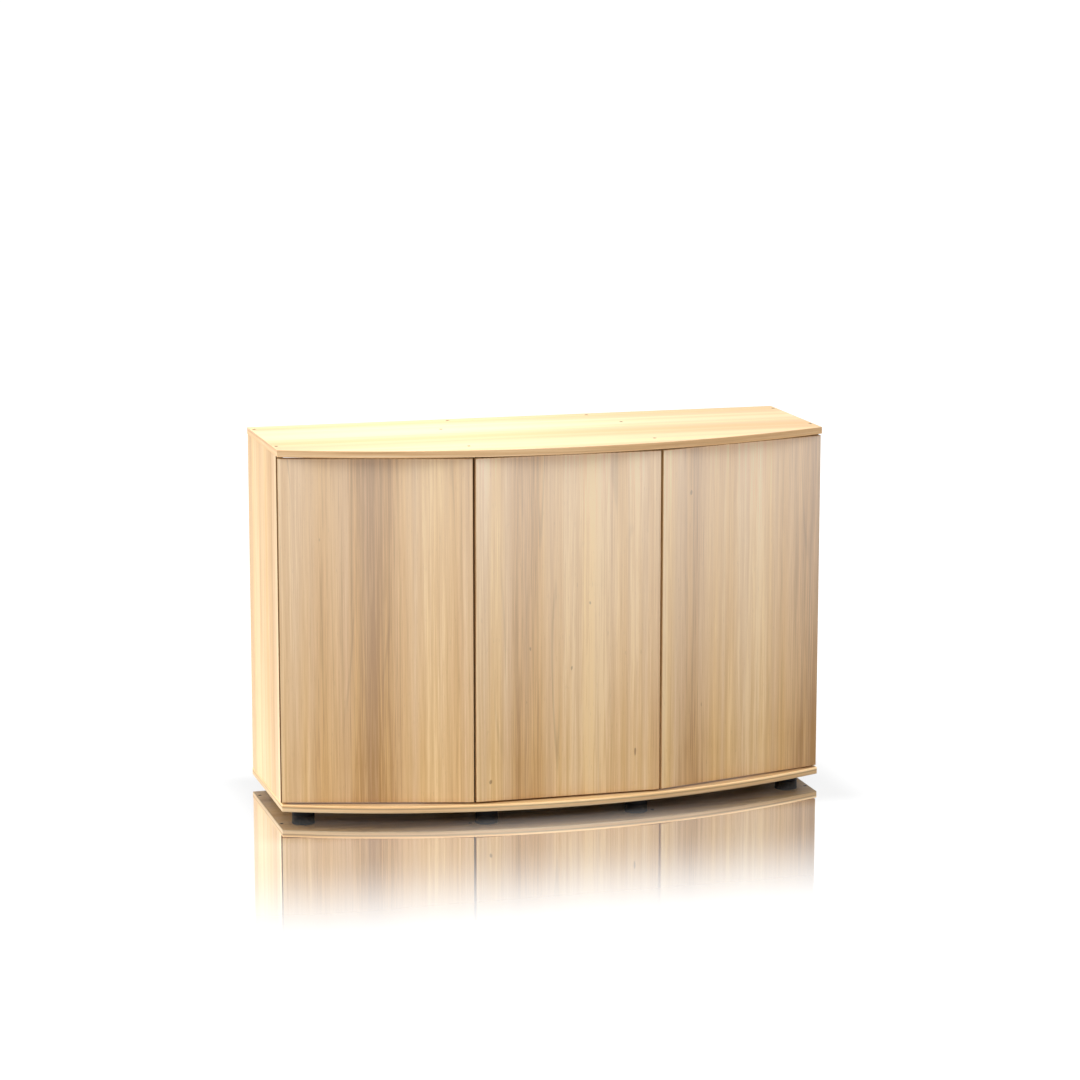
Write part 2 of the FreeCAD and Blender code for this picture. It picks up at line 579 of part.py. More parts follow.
upright_rooms = []
for door, edge_x, front_y, turn, face_x, upright_y, upright_turn, wide, pivot in DOORS:
    on_upright = {"x": face_x, "y": upright_y, "z": MIDDLE_UP, "turn": upright_turn}
    on_door = {"x": edge_x, "y": front_y, "z": MIDDLE_UP, "turn": turn}
    plates, arms, clamp_screws, arm_pins, wall_screws = [], [], [], [], []
    cups, cup_pins, door_screws, links = [], [], [], []
    # the cup's pivot, seen from the upright's own corner
    upright_seat = FreeCAD.Placement(V(size(face_x), size(upright_y), 0), upright_turn)
    door_seat = FreeCAD.Placement(V(size(edge_x), size(front_y), 0), turn)
    arm_point = V(size(pivot[0]), size(pivot[1]), 0)
    cup_point = door_seat.multVec(V(size(pivot[2]), size(pivot[3]), 0))
    cup_point = upright_seat.inverse().multVec(cup_point)
    for level, up in HINGE_HEIGHTS:
        plates.append(hinge_plate(door, level, up))
        wall_screws += plate_screws(door, level, up)
        arms.append(hinge_arm(door, level, up, pivot))
        clamp_screws.append(arm_screw(door, level, up))
        arm_pins.append(arm_pin(door, level, up, pivot))
        cups.append(hinge_cup(door, level, up, pivot))
        cup_pins.append(cup_pin(door, level, up, pivot))
        door_screws += cup_screws(door, level, up)
        links.append(hinge_link(door, level, up, arm_point, cup_point))
    wall_set = group(f"wall_screws_{door}", wall_screws)
    pierced = cut(f"hinge_plates_{door}", group(f"plates_{door}", plates), wall_set)
    node(place(pierced, **on_upright), f"hinge_plates_{door}")
    node(place(group(f"hinge_arms_{door}", arms), **on_upright), f"hinge_arms_{door}")
    fixings = group(f"hinge_screws_{door}", wall_screws + clamp_screws + arm_pins)
    node(place(fixings, **on_upright), f"hinge_screws_and_arm_pins_{door}")
    upright_rooms.append(place(group(f"wall_screw_rooms_{door}", wall_screws), **on_upright))
    node(place(group(f"hinge_links_{door}", links), **on_upright), f"hinge_links_{door}")
    node(place(group(f"hinge_cups_{door}", cups), **on_door), f"hinge_cups_{door}")
    node(place(group(f"cup_pins_{door}", cup_pins), **on_door), f"cup_pins_{door}")
    screw_set = group(f"cup_screws_{door}", door_screws)
    node(place(screw_set, **on_door), f"cup_screws_{door}")

    # the door leaf, drawn from its hinge edge, front face at y 0
    core = body(f"door_{door}_core")
    face = sketch(core, f"door_{door}_face", "XZ_Plane")
    half_tall = f"({INSIDE_TALL}/2-door_gap)"
    inner = [("door_edging", f"door_edging-{half_tall}"), (f"{wide}-door_edging", f"door_edging-{half_tall}"),
             (f"{wide}-door_edging", f"{half_tall}-door_edging"), ("door_edging", f"{half_tall}-door_edging")]
    loop(face, inner)
    pad(core, face, f"door_{door}_pad", "door", reverse=True)
    cup_face = sketch(core, f"door_{door}_cups", "XZ_Plane", "-door")
    for _, up in HINGE_HEIGHTS:
        circle(cup_face, "cup_along", up, "cup_radius")
    pocket(core, cup_face, f"door_{door}_cup_bores", "cup_deep", reverse=True)
    screw_holes = group(f"door_{door}_screw_rooms", door_screws)
    node(place(cut(f"door_{door}", core, screw_holes), **on_door), f"door_{door}")

    edging = body(f"door_{door}_edging")
    frame = sketch(edging, f"door_{door}_edging_face", "XZ_Plane")
    loop(frame, [("0", f"-{half_tall}"), (wide, f"-{half_tall}"), (wide, half_tall), ("0", half_tall)])
    loop(frame, inner)
    strip = pad(edging, frame, f"door_{door}_edging_pad", "door", reverse=True)
    leaf_wide, leaf_half = size(wide), size(half_tall)

    def is_rim(edge):
        flat = edge.BoundBox.YLength < 1e-6
        spots = [(vertex.X, vertex.Z) for vertex in edge.Vertexes]
        on_side = all(min(abs(x), abs(x - leaf_wide)) < 1e-3 for x, _ in spots)
        on_end = all(abs(abs(z) - leaf_half) < 1e-3 for _, z in spots)
        return flat and (on_side or on_end)

    soften(edging, strip, f"door_{door}_edging_rounded", "door_rounding", is_rim)
    node(place(edging, **on_door), f"door_{door}_edging")


# ---------------------------------------------------------------- push latches

latch_screw_sets = []
for name, face_x, side, back_y in LATCHES:
    out = 1 if side == "+" else -1
    low_x = face_x if out > 0 else f"{face_x}-latch_wide"
    centre_x = f"({face_x}{side}latch_wide/2)"
    front = f"({PARTITION_FRONT_Y}+latch_setback)"
    level = f"({MIDDLE_UP}+latch_up)"
    block = box(f"latch_{name}_block", "latch_wide", "latch_long", "latch_tall",
                (low_x, front, f"{level}-latch_tall/2"))
    bore = rod(f"latch_{name}_bore", "latch_bore", "latch_cavity", (centre_x, f"{front}-spare", level), "y")
    screws = []
    for sign in ("+", "-"):
        at = (f"{front}+latch_long/2", f"{level}{sign}latch_screw_up")
        tag = f"latch_screw_{name}_{'upper' if sign == '+' else 'lower'}"
        # the shank runs through the block into the upright, and its head rests on the block
        shank_x = f"{face_x}-latch_screw_deep" if out > 0 else f"{face_x}-latch_wide"
        head_x = f"{face_x}+latch_wide" if out > 0 else f"{face_x}-latch_wide-latch_screw_head"
        shank = rod(tag + "_shank", "latch_screw_radius", "latch_wide+latch_screw_deep", (shank_x, *at), "x")
        head = rod(tag + "_head", "latch_screw_head_radius", "latch_screw_head", (head_x, *at), "x")
        screws.append(join(tag, [shank, head]))
    latch_screw_sets += screws
    node(cut(f"latch_{name}", block, group(f"latch_{name}_rooms", [bore] + screws)), f"latch_housing_{name}")
    tip_y = f"({back_y}+plunger_gap)"
    nose = doc.addObject("Part::Cone", f"plunger_{name}_nose")
    bind(nose, Radius1="plunger_radius-plunger_nose", Radius2="plunger_radius", Height="plunger_nose")
    place(nose, centre_x, tip_y, level, turn=FreeCAD.Rotation(V(1, 0, 0), -90))
    stem = rod(f"plunger_{name}_stem", "plunger_radius", "plunger_long",
               (centre_x, f"{tip_y}+plunger_nose", level), "y")
    node(join(f"plunger_{name}", [nose, stem]), f"latch_plunger_{name}")
latch_screws = node(group("latch_screws", latch_screw_sets), "latch_screws")


# ---------------------------------------------------------------- uprights, back panel, shelves

SHELF_SIDE_X = f"({SIDE_INNER_X}-shelf_play)"
SHELF_PARTITION_X = "(partition_x+panel/2+shelf_play)"
SHELF_REAR_Y = f"({PARTITION_FRONT_Y}+panel_depth-shelf_rear_gap)"
SHELF_PIN_REAR_Y = f"{SHELF_REAR_Y}-shelf_pin_rear_y"
SHELF_PIN_YS = {
    "side": (f"{SIDE_FRONT_Y}+shelf_pin_side_y", SHELF_PIN_REAR_Y),
    "partition": (f"{PARTITION_FRONT_Y}+shelf_pin_partition_y", SHELF_PIN_REAR_Y),
}

pins = []
for side, sign in SIDES:
    for support, face in (("side", SIDE_INNER_X), ("partition", "(partition_x+panel/2)")):
        # a pin stands into the bay from its upright, whichever way the bay lies
        inward = (support == "side") == (side == "left")
        face_x = sign + face
        for count, y in enumerate(SHELF_PIN_YS[support], start=1):
            low = f"{face_x}-shelf_pin_depth" if inward else f"{face_x}-shelf_pin_reach"
            pins.append(rod(f"shelf_pin_{side}_{support}_{count}", "shelf_pin_radius",
                            "shelf_pin_depth+shelf_pin_reach",
                            (low, y, "shelf_top-board-shelf_pin_radius"), "x"))
shelf_pins = node(group("shelf_pins", pins), "shelf_pins")

for side, sign in SIDES:
    owner = body(f"shelf_{side}")
    plan = sketch(owner, f"shelf_{side}_plan")
    loop(plan, [
        (sign + SHELF_SIDE_X, SHELF_REAR_Y), (sign + SHELF_SIDE_X, f"{SIDE_FRONT_Y}+shelf_front_gap"),
        (sign + SHELF_PARTITION_X, f"{PARTITION_FRONT_Y}+shelf_front_gap"),
        (sign + SHELF_PARTITION_X, SHELF_REAR_Y),
    ])
    pad(owner, plan, f"shelf_{side}_pad", "board")
    node(place(owner, z="shelf_top-board"), f"shelf_{side}")

room_sets = [screw_rooms, top_dowels, bottom_dowels, shelf_pins, latch_screws]
bores = group("upright_bores", room_sets + upright_rooms)
edgings = []
for label, x, front in UPRIGHTS:
    blank = box(label + "_blank", "panel", "panel_depth-panel_edging", INSIDE_TALL,
                (f"{x}-panel/2", f"{front}+panel_edging", FLOOR_TOP))
    node(cut(label, blank, bores), label)
    edgings.append(box(label + "_edging", "panel", "panel_edging", INSIDE_TALL,
                       (f"{x}-panel/2", front, FLOOR_TOP)))
node(group("upright_edgings", edgings), "upright_edgings")

back_blank = box("back_blank", "back_width", "panel", INSIDE_TALL,
                 ("-back_width/2", f"{BACK_Y}-panel/2", FLOOR_TOP))
node(cut("back_panel", back_blank, bores), "back_panel")


# ---------------------------------------------------------------- checks and files

doc.recompute()
for thing in doc.Objects:
    if {"Invalid", "Error"} & set(thing.State):
        raise RuntimeError(f"{thing.Name} failed: {thing.State}")
labels = [thing.Label for thing in nodes]
if len(set(labels)) != len(labels):
    raise RuntimeError("two sub-parts share a label")
for thing in nodes:
    if thing.Shape.isNull() or not thing.Shape.isValid() or thing.Shape.Volume <= 0:
        raise RuntimeError(thing.Label + " has no valid solid")

os.makedirs("parts", exist_ok=True)
for thing in nodes:
    thing.Shape.exportStep(os.path.join("parts", thing.Label + ".step"))
print(len(nodes), "sub-parts")
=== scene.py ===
import json
import math

import bpy
import numpy as np
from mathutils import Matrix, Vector


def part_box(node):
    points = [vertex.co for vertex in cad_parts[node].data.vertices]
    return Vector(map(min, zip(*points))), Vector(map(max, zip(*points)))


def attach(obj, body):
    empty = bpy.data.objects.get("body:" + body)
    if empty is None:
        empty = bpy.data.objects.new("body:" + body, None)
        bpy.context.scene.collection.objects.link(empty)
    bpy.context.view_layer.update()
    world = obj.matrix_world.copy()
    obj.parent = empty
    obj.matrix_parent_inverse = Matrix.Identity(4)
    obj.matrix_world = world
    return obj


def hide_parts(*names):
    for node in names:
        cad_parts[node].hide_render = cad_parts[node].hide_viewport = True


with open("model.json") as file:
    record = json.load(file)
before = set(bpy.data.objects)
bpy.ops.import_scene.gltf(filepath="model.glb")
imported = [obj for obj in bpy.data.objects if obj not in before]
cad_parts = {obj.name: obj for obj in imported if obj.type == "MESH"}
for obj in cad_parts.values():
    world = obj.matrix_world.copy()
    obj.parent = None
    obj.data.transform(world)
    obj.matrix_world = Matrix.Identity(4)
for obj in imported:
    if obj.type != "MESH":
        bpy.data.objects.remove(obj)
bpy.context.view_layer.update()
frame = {"nodes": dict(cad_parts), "record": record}

# Looks of a bow-fronted aquarium stand: wood-decor laminate on every board, edging strips, plated
# hinges and screws, moulded feet and latches. Metres, in the frame of the CAD model: Z is up from the
# floor and the doors face -Y.

DOORS = ("left", "middle", "right")
DOOR_TURN = {"left": math.radians(-15.2), "middle": 0.0, "right": math.radians(15.2)}
WHITE = (1, 1, 1, 1)


# ---------------------------------------------------------------- materials: helpers

def paint(red, green, blue):
    """A colour given as 0 to 255 in sRGB, as the linear colour that a shader takes."""
    share = np.array([red, green, blue]) / 255
    linear = np.where(share <= 0.04045, share / 12.92, ((share + 0.055) / 1.055) ** 2.4)
    return (*(float(value) for value in linear), 1.0)


def shader_node(tree, kind, settings=None, inputs=None):
    """A new node in a tree; each input is a number, a colour or another node's output."""
    made = tree.nodes.new(kind)
    for key, value in (settings or {}).items():
        setattr(made, key, value)
    for key, value in (inputs or {}).items():
        if isinstance(value, bpy.types.NodeSocket):
            tree.links.new(value, made.inputs[key])
        else:
            made.inputs[key].default_value = value
    return made


def arithmetic(tree, kind, first, second=0.0):
    """One step of arithmetic in a tree; kind is Blender's name for it."""
    return shader_node(tree, "ShaderNodeMath", {"operation": kind}, {0: first, 1: second}).outputs[0]


class Finish:
    """A material in the making. Its patterns read the piece's own Object coordinates."""

    def __init__(self, name, roughness=0.5, metallic=0.0, specular=0.5):
        self.material = bpy.data.materials.new(name)
        self.material.use_nodes = True
        self.tree = self.material.node_tree
        self.shader = self.tree.nodes["Principled BSDF"]
        self.shader.inputs["Roughness"].default_value = roughness
        self.shader.inputs["Metallic"].default_value = metallic
        self.shader.inputs["Specular IOR Level"].default_value = specular
        self.place = self.add("ShaderNodeTexCoord").outputs["Object"]

    def add(self, kind, settings=None, inputs=None):
        return shader_node(self.tree, kind, settings, inputs)

    def sum(self, kind, first, second=0.0):
        return arithmetic(self.tree, kind, first, second)

    def mapped(self, spot, scale=(1, 1, 1), turn=0.0, shift=(0, 0, 0)):
        """Coordinates turned about Z, stretched and moved."""
        inputs = {"Vector": spot, "Location": shift, "Rotation": (0, 0, turn), "Scale": scale}
        return self.add("ShaderNodeMapping", inputs=inputs).outputs["Vector"]

    def noise(self, spot, fineness, detail=2.0, roughness=0.5):
        inputs = {"Vector": spot, "Scale": fineness, "Detail": detail, "Roughness": roughness}
        return self.add("ShaderNodeTexNoise", inputs=inputs).outputs["Fac"]

    def remap(self, value, low, high, to_low=0.0, to_high=1.0, smooth=True):
        """A value from low to high, drawn out to run from to_low to to_high."""
        settings = {"interpolation_type": "SMOOTHSTEP" if smooth else "LINEAR"}
        inputs = {"Value": value, "From Min": low, "From Max": high, "To Min": to_low, "To Max": to_high}
        return self.add("ShaderNodeMapRange", settings, inputs).outputs["Result"]

    def ramp(self, value, stops):
        """A colour for each value: stops are (position, colour)."""
        made = self.add("ShaderNodeValToRGB", inputs={"Fac": value})
        steps = made.color_ramp.elements
        while len(steps) < len(stops):
            steps.new(0.5)
        for step, (position, colour) in zip(steps, stops):
            step.position = position
            step.color = colour
        return made.outputs["Color"]

    def blend(self, share, under, over, how="MIX"):
        """Two colours laid over each other; the node's inputs 0, 6 and 7 are its share and its colours."""
        settings = {"data_type": "RGBA", "blend_type": how}
        return self.add("ShaderNodeMix", settings, {0: share, 6: under, 7: over}).outputs[2]

    def split(self, spot):
        return self.add("ShaderNodeSeparateXYZ", inputs={"Vector": spot}).outputs

    def give(self, socket, value):
        self.tree.links.new(value, self.shader.inputs[socket])

    def bump(self, height, depth):
        """Relief whose full height is depth, in metres."""
        inputs = {"Height": height, "Distance": depth, "Strength": 1.0}
        self.give("Normal", self.add("ShaderNodeBump", inputs=inputs).outputs["Normal"])


# ---------------------------------------------------------------- materials: wood decor

PALE_WOOD = paint(216, 182, 134)
BRIGHT_WOOD = paint(226, 196, 150)
MID_WOOD = paint(203, 165, 115)
DEEP_WOOD = paint(168, 129, 82)
LINE_WOOD = paint(122, 88, 56)
ROSE_CAST = (0.985, 0.98, 1.05, 1.0)
GOLD_CAST = (1.035, 0.995, 0.89, 1.0)
WOOD_TONES = ((0.0, DEEP_WOOD), (0.45, MID_WOOD), (0.85, PALE_WOOD), (1.0, BRIGHT_WOOD))
CAST_STRIPES = ((0.34, ROSE_CAST), (0.66, GOLD_CAST))

# how much shorter a pattern is counted along the grain than across it
GRAIN = {"x": (0.012, 1, 1), "z": (1, 1, 0.012), "rim": (0.012, 0.012, 1)}
FLAME = {"x": (0.05, 1, 1), "z": (1, 1, 0.05), "rim": (0.05, 0.05, 1)}

# streaks, fine lines and hairlines: (fineness, detail, shift, the noise's low and high, swing in tone)
DECOR_LINES = ((85, 2, (0, 0, 0), 0.28, 0.72, 0.15),
               (260, 2, (2, 3, 1), 0.25, 0.75, 0.17),
               (950, 1, (7, 1, 5), 0.25, 0.75, 0.13))
CAST_FINENESS = 34
RING_FINENESS = 13
RINGS = 7.0              # contours over the slow noise's whole range
RING_WIDTH = 0.07
RING_PATCHES = 16        # fineness of the patches where the contours show
RING_DARKNESS = 0.3
PORE_FINENESS = 900
PORE_DARKNESS = 0.22
KNOT_FINENESS = 70
KNOT_ROUNDNESS = 9       # knots are drawn out along the grain this much less than flames
KNOT_DARKNESS = 0.6
DECOR_ROUGHNESS = (0.4, 0.52)
DECOR_RELIEF = 0.00008
DECOR_GLOSS = 0.35


def wood_decor(finish, tone, grain, contrast=1.0, pale=None, shade=None):
    """Colours, sheen and pores of the printed decor, laid over a broad tone from 0, deep, to 1, pale.

    Streaks, fine lines and hairlines are noises drawn out along the grain; pale is white added on top,
    painted sheen, and shade is a factor laid over the whole, painted highlights and shade."""
    spot = finish.place
    lines = []
    for fineness, detail, shift, low, high, swing in DECOR_LINES:
        lines.append(finish.noise(finish.mapped(spot, GRAIN[grain], shift=shift), fineness, detail))
        swing *= contrast
        tone = finish.sum("ADD", tone, finish.remap(lines[-1], low, high, -swing, swing))
    fine_line = lines[1]
    colour = finish.ramp(tone, WOOD_TONES)

    # stripes that lean to grey rose and stripes that lean to gold
    hue = finish.noise(finish.mapped(spot, GRAIN[grain], shift=(4, 8, 2)), CAST_FINENESS)
    colour = finish.blend(1.0, colour, finish.ramp(hue, CAST_STRIPES), "MULTIPLY")

    # growth lines: thin contours of a slow noise, each fading in and out along its length
    slow = finish.noise(finish.mapped(spot, FLAME[grain], shift=(3, 5, 7)), RING_FINENESS, 1)
    growth = finish.sum("FRACT", finish.sum("MULTIPLY", slow, RINGS))
    contour = finish.sum("ABSOLUTE", finish.sum("SUBTRACT", growth, 0.5))
    thin = finish.remap(contour, 0.0, RING_WIDTH, 1.0, 0.0)
    patch = finish.noise(finish.mapped(spot, FLAME[grain], shift=(9, 2, 4)), RING_PATCHES, 1)
    shown = finish.remap(patch, 0.56, 0.7, 0.0, RING_DARKNESS * contrast)
    colour = finish.blend(finish.sum("MULTIPLY", thin, shown), colour, LINE_WOOD)

    # pores: short dark dashes; and a few small knots
    pore = finish.noise(finish.mapped(spot, FLAME[grain], shift=(1, 6, 3)), PORE_FINENESS, 1)
    dashes = finish.remap(pore, 0.67, 0.77, 0.0, PORE_DARKNESS)
    colour = finish.blend(dashes, colour, LINE_WOOD)
    rounder = tuple(min(1.0, KNOT_ROUNDNESS * value) for value in FLAME[grain])
    knot = finish.noise(finish.mapped(spot, rounder), KNOT_FINENESS, 0)
    colour = finish.blend(finish.remap(knot, 0.88, 0.92, 0.0, KNOT_DARKNESS), colour, LINE_WOOD)
    # painted light: pale adds painted sheen, and shade multiplies in painted highlights and shade
    if pale is not None:
        colour = finish.blend(pale, colour, WHITE, "ADD")
    if shade is not None:
        colour = finish.blend(1.0, colour, shade, "MULTIPLY")
    finish.give("Base Color", colour)
    finish.give("Roughness", finish.remap(fine_line, 0.2, 0.8, *DECOR_ROUGHNESS))
    finish.bump(finish.sum("SUBTRACT", finish.sum("MULTIPLY", fine_line, 0.6), dashes), DECOR_RELIEF)


def board_laminate(name, grain, lightness=0.0, contrast=0.9, painted_sheen=0.0):
    """Laminate of a carcass board, its broad bands left to a noise along the grain."""
    finish = Finish(name, specular=DECOR_GLOSS)
    band = finish.noise(finish.mapped(finish.place, GRAIN[grain]), 14, 2, 0.4)
    tone = finish.remap(band, 0.32, 0.68, 0.3 + lightness, 0.85 + lightness)
    # white added evenly over the whole board, if any, is painted sheen
    wood_decor(finish, tone, grain, contrast, pale=painted_sheen)
    return finish.material


# broad bands across each door from its left edge: (share of the width, tone)
DOOR_BANDS = {
    "left": ((0.0, 0.7), (0.15, 0.62), (0.22, 0.34), (0.3, 0.56), (0.4, 0.3), (0.47, 0.02), (0.56, 0.22),
             (0.63, 0.55), (0.8, 0.92), (0.88, 0.66), (1.0, 0.6)),
    "middle": ((0.0, 0.95), (0.12, 0.8), (0.24, 0.28), (0.3, 0.3), (0.4, 0.75), (0.58, 0.9), (0.63, 1.2),
               (0.68, 0.85), (0.8, 0.7), (0.88, 0.9), (1.0, 0.55)),
    "right": ((0.0, 1.0), (0.18, 0.3), (0.34, 0.72), (0.45, 0.66), (0.56, 0.92), (0.7, 0.7), (0.82, 0.4),
              (1.0, 0.1)),
}
# painted light: white laid over the top of each door's colours, a painted sheen that makes the top lighter
# as overhead light would, fading to none a little above its foot
DOOR_PAINTED_SHEEN = {"left": 0.21, "middle": 0.31, "right": 0.36}
PAINTED_SHEEN_FOOT = 0.08


def door_laminate(side):
    """Laminate of one door: broad upright bands in their places, across the door's own front."""
    finish = Finish("door_laminate_painted_sheen_" + side, specular=DECOR_GLOSS)
    low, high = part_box("door_" + side)
    middle = (low + high) / 2
    turn = DOOR_TURN[side]
    reach = (high.x - low.x) / math.cos(turn)
    centre = middle.x * math.cos(turn) + middle.y * math.sin(turn)
    across = finish.split(finish.mapped(finish.place, turn=-turn))["X"]
    share = finish.remap(across, centre - reach / 2, centre + reach / 2, smooth=False)
    tone = finish.ramp(share, tuple((at, (tone, tone, tone, 1)) for at, tone in DOOR_BANDS[side]))
    # painted sheen: white added, growing towards the top of the door
    height = finish.split(finish.place)["Z"]
    pale = finish.remap(height, low.z + PAINTED_SHEEN_FOOT, high.z, 0.0, DOOR_PAINTED_SHEEN[side], smooth=False)
    wood_decor(finish, tone, "z", pale=pale)
    return finish.material


# painted highlights and shade along an edging strip, where a rounded arris would catch or lose the light,
# from its lower to its upper arris: (height share, factor)
FLAT_STRIP_PAINTED_LIGHT = ((0.0, 1.12), (0.1, 1.12), (0.2, 0.96), (0.8, 1.0), (1.0, 1.04))
RIBBED_STRIP_PAINTED_LIGHT = ((0.0, 0.7), (0.1, 0.84), (0.3, 1.0), (0.45, 1.0), (0.58, 0.62), (0.66, 0.6), (0.76, 1.25),
                (0.92, 1.5), (1.0, 1.4))


def edging_strip(name, grain, board=None, profile=None, cast=(1, 1, 1), painted_shade=None):
    """Edging strip in the decor; round a board, painted highlights and shade run along it in bands after
    the given profile, and otherwise an optional factor darkens it all as painted shade.
    """
    finish = Finish(name)
    band = finish.noise(finish.mapped(finish.place, GRAIN[grain]), 160)
    tone = finish.remap(band, 0.3, 0.7, 0.4, 1.0)
    shade = painted_shade
    if board:
        low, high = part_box(board)
        height = finish.remap(finish.split(finish.place)["Z"], low.z, high.z, smooth=False)
        # a ramp stops at 1, so it holds half of each factor and is doubled after
        stops = tuple((at, tuple(factor * part / 2 for part in cast) + (1,)) for at, factor in profile)
        shade = finish.blend(1.0, finish.ramp(height, stops), (2, 2, 2, 1), "MULTIPLY")
    wood_decor(finish, tone, grain, 0.9, shade=shade)
    return finish.material


# ---------------------------------------------------------------- materials: wood pins, metal, plastic

def turned_beech():
    """Bare turned beech, flecked along its length."""
    finish = Finish("turned_beech", 0.7)
    fleck = finish.noise(finish.mapped(finish.place, (1, 1, 0.15)), 700)
    finish.give("Base Color", finish.ramp(fleck, ((0.3, paint(176, 128, 80)), (0.7, paint(216, 172, 120)))))
    finish.bump(fleck, 0.0002)
    return finish.material


def plated_steel(name, dark, bright, smoothest, roughest, metallic=1.0):
    """Plated steel: a mottled colour, with a fine random brushing in its sheen."""
    finish = Finish(name, metallic=metallic)
    mottle = finish.noise(finish.place, 260, 3, 0.6)
    finish.give("Base Color", finish.ramp(mottle, ((0.3, dark), (0.7, bright))))
    scratch = finish.noise(finish.mapped(finish.place, (1, 1, 0.08)), 2600)
    finish.give("Roughness", finish.remap(scratch, 0.3, 0.7, smoothest, roughest))
    finish.bump(scratch, 0.00002)
    return finish.material


def moulded_plastic(name, dark, bright, smoothest, roughest, specular=0.5):
    """Moulded plastic: a spark-eroded skin of fine grains and slightly uneven gloss."""
    finish = Finish(name, specular=specular)
    cloud = finish.noise(finish.place, 40)
    skin = finish.noise(finish.place, 1800)
    finish.give("Base Color", finish.ramp(cloud, ((0.3, dark), (0.7, bright))))
    finish.give("Roughness", finish.remap(skin, 0.3, 0.7, smoothest, roughest))
    finish.bump(skin, 0.00004)
    return finish.material


# ---------------------------------------------------------------- materials on the CAD nodes

def dress(node, material):
    piece = frame["nodes"][node]
    piece.data.materials.clear()
    piece.data.materials.append(material)


slot_of = {part["node"]: part["material_slot"] for part in frame["record"]["subparts"]}
upright = board_laminate("upright_laminate", "z")
# the outer panels and the top carry a little white added evenly, painted sheen
outer = board_laminate("outer_laminate_painted_sheen", "z", 0.1, 1.2, 0.05)
lying = board_laminate("lying_laminate", "x")
top = board_laminate("top_laminate_painted_sheen", "x", 0.25, 0.45, 0.03)
strip_upright = edging_strip("upright_edging", "z")
# the uprights' front edgings are darkened all over, painted shade of the gaps beside and between the doors
inner_strip_painted_shade = edging_strip("inner_edging_painted_shade", "z", painted_shade=(0.3, 0.27, 0.24, 1))
# painted highlights and shade run along the top and bottom boards' edgings
top_strip_painted_light = edging_strip("top_edging_painted_light", "rim", "top_board_edging", FLAT_STRIP_PAINTED_LIGHT, (1.14, 1.13, 1.22))
bottom_strip_painted_light = edging_strip("bottom_edging_painted_light", "rim", "bottom_board_edging", RIBBED_STRIP_PAINTED_LIGHT)
FINISHES = {
    "beech": turned_beech(),
    "bronzed_steel": plated_steel("bronzed_steel", paint(30, 22, 15), paint(54, 40, 27), 0.5, 0.7,
                                  metallic=0.1),
    "zinc_steel": plated_steel("zinc_steel", paint(176, 178, 182), paint(206, 207, 208), 0.22, 0.4),
    "nickel_steel": plated_steel("nickel_steel", paint(178, 176, 170), paint(204, 202, 196), 0.18, 0.34),
    "black_plastic": moulded_plastic("black_plastic", paint(16, 16, 17), paint(26, 26, 28), 0.45, 0.62,
                                     specular=0.22),
    "grey_plastic": moulded_plastic("grey_plastic", paint(150, 150, 148), paint(164, 164, 162),
                                    0.4, 0.55),
    "white_plastic": moulded_plastic("white_plastic", paint(226, 226, 222), paint(236, 236, 233),
                                     0.22, 0.34),
    "wood_edging": strip_upright,
    "door_laminate": upright,
    "wood_laminate": upright,
}
for name, slot in slot_of.items():
    dress(name, FINISHES[slot])
for name in ("bottom_board", "shelf_left", "shelf_right"):
    dress(name, lying)
for name in ("side_panel_left", "side_panel_right"):
    dress(name, outer)
dress("top_board", top)
dress("upright_edgings", inner_strip_painted_shade)
dress("top_board_edging", top_strip_painted_light)
dress("bottom_board_edging", bottom_strip_painted_light)
for side in DOORS:
    dress("door_" + side, door_laminate(side))


# ---------------------------------------------------------------- screws and pins: shapes

SECTORS = 32             # round each screw
FACE_RINGS = 16          # across the top of a head, enough to hold its drive
ROWS_A_PITCH = 5         # along a thread
THREAD_PITCH = 0.0018
THREAD_DEPTH = 0.2       # share of the shank's radius
EDGE_ROUND = 0.0002      # broken arris of a head
ANGLES = np.arange(SECTORS) * 2 * math.pi / SECTORS


def rings(*values):
    """One ring of equal values for each value given."""
    return np.array(values)[:, None] * np.ones(SECTORS)


def turned(radii, heights):
    """A closed skin of revolution: point (i, k) is radii[i, k] out at angle 2 pi k / SECTORS, at
    heights[i, k]; each ring joins the next, the first and last rings shrink to nothing."""
    points = np.stack([radii * np.cos(ANGLES), radii * np.sin(ANGLES), heights], axis=-1).reshape(-1, 3)
    ring, spoke = np.meshgrid(np.arange(len(radii) - 1), np.arange(SECTORS), indexing="ij")
    ahead = (spoke + 1) % SECTORS
    quads = np.stack([ring * SECTORS + spoke, (ring + 1) * SECTORS + spoke,
                      (ring + 1) * SECTORS + ahead, ring * SECTORS + ahead], axis=-1).reshape(-1, 4)
    return points, quads


def hex_recess(x, y, size, head_radius):
    """How deep, from 0 to 1, a six-sided recess is at each point: 1 inside, falling at its walls."""
    outside = np.maximum(abs(x), np.maximum(abs(x / 2 + y * 0.866), abs(x / 2 - y * 0.866)))
    return np.clip((size - outside) / (0.14 * head_radius), 0, 1)


def cross_recess(x, y, size, head_radius):
    """How deep, from 0 to 1, a cross recess is at each point: 1 along its arms, falling at their ends."""
    arm = np.clip((0.2 * head_radius - np.minimum(abs(x), abs(y))) / (0.1 * head_radius), 0, 1)
    return arm * np.clip((size - np.maximum(abs(x), abs(y))) / (0.15 * head_radius), 0, 1)


